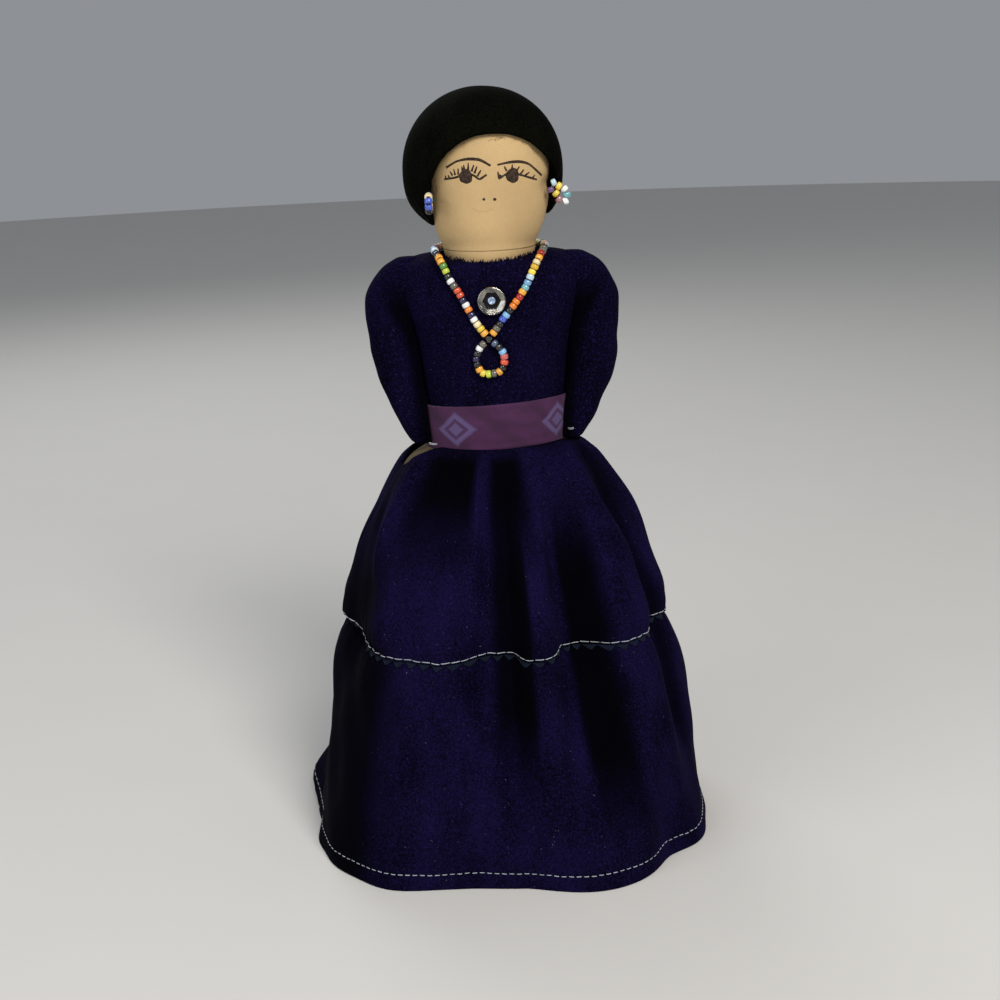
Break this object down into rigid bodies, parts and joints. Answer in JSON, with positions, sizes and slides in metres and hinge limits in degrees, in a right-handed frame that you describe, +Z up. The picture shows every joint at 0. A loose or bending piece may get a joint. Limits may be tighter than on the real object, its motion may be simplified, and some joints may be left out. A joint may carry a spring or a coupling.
{
  "type": "cloth doll",
  "caption": "Standing cloth doll with stuffed head and body, padded hair cap, velvet dress with gathered tiered skirt, ribbon sash, bead necklace, bead earrings and a shank button.",
  "frame": {"origin": "on the floor, at the middle of the skirt's hem", "axes": "+Z up along the doll, -Y the way the face looks, +X the doll's own left"},
  "size_m": [0.1858, 0.1712, 0.34],
  "materials": {
    "head_cloth": "plain-weave tan muslin",
    "muslin": "plain-weave unbleached muslin",
    "hair_velvet": "short-pile black velvet",
    "dress_velvet": "dark indigo velveteen",
    "sash_cotton": "printed cotton ribbon",
    "trim_teal": "woven zigzag braid",
    "thread_white": "white sewing thread",
    "stuffing": "loose fibre fill",
    "bead_glass": "opaque glass seed beads",
    "button_metal": "worn gunmetal plating"
  },
  "bodies": {
    "doll_body": {"bodice": "dress_velvet", "torso_stuffing": "stuffing", "right_sleeve": "dress_velvet", "left_sleeve": "dress_velvet", "right_arm_stuffing": "stuffing", "left_arm_stuffing": "stuffing", "right_wrist_tack": "thread_white", "left_wrist_tack": "thread_white", "sash": "sash_cotton", "sash_back_lap": "sash_cotton", "under_body_cover": "muslin", "under_body_stuffing": "stuffing", "skirt_upper_front": "dress_velvet", "skirt_upper_back": "dress_velvet", "skirt_lower_front": "dress_velvet", "skirt_lower_back": "dress_velvet", "rickrack_trim": "trim_teal", "tier_topstitch": "thread_white", "hem_topstitch": "thread_white", "necklace_nape_strand": "bead_glass", "button_thread": "thread_white"},
    "neck": {"neck_cover": "head_cloth", "neck_stuffing": "stuffing"},
    "head": {"head_cover": "head_cloth", "head_stuffing": "stuffing", "hair_cap": "hair_velvet"},
    "right_earring": {"right_earring": "bead_glass"},
    "left_earring": {"left_earring": "bead_glass"},
    "necklace_front": {"necklace_left_strand": "bead_glass", "necklace_right_strand": "bead_glass", "necklace_tie": "thread_white"},
    "necklace_loop": {"necklace_loop": "bead_glass"},
    "button": {"button_disc": "button_metal", "button_dome": "button_metal", "button_shank": "button_metal"},
    "right_leg": {"right_leg_cover": "muslin", "right_leg_stuffing": "stuffing"},
    "left_leg": {"left_leg_cover": "muslin", "left_leg_stuffing": "stuffing"}
  },
  "joints": [
    {"name": "head_turn", "type": "hinge", "parent": "doll_body", "child": "neck", "pos_m": [0, 0, 0.272], "axis": [0, 0, 1], "range_deg": [-20, 20], "stiffness_Nm_per_rad": 0.05},
    {"name": "head_nod", "type": "hinge", "parent": "neck", "child": "head", "pos_m": [0, 0, 0.272], "axis": [1, 0, 0], "range_deg": [-8, 8], "stiffness_Nm_per_rad": 0.2},
    {"name": "right_earring_swing", "type": "hinge", "parent": "head", "child": "right_earring", "pos_m": [-0.0257, -0.02353, 0.29506], "axis": [-1, 0, 0], "range_deg": [0, 35]},
    {"name": "left_earring_swing", "type": "hinge", "parent": "head", "child": "left_earring", "pos_m": [0.0307, -0.01358, 0.29906], "axis": [-1, 0, 0], "range_deg": [0, 35]},
    {"name": "necklace_lift", "type": "hinge", "parent": "doll_body", "child": "necklace_front", "pos_m": [0, -0.009, 0.2704], "axis": [-1, 0, 0], "range_deg": [0, 50]},
    {"name": "necklace_loop_lift", "type": "hinge", "parent": "necklace_front", "child": "necklace_loop", "pos_m": [-0.0019, -0.0267, 0.2336], "axis": [-1, 0, 0], "range_deg": [0, 60]},
    {"name": "button_turn", "type": "hinge", "parent": "doll_body", "child": "button", "pos_m": [0, -0.0251, 0.25], "axis": [0, 1, 0], "range_deg": [-20, 20]},
    {"name": "right_hip_swing", "type": "hinge", "parent": "doll_body", "child": "right_leg", "pos_m": [-0.018, 0, 0.15], "axis": [-1, 0, 0], "range_deg": [-12, 12]},
    {"name": "left_hip_swing", "type": "hinge", "parent": "doll_body", "child": "left_leg", "pos_m": [0.018, 0, 0.15], "axis": [-1, 0, 0], "range_deg": [-12, 12]}
  ]
}
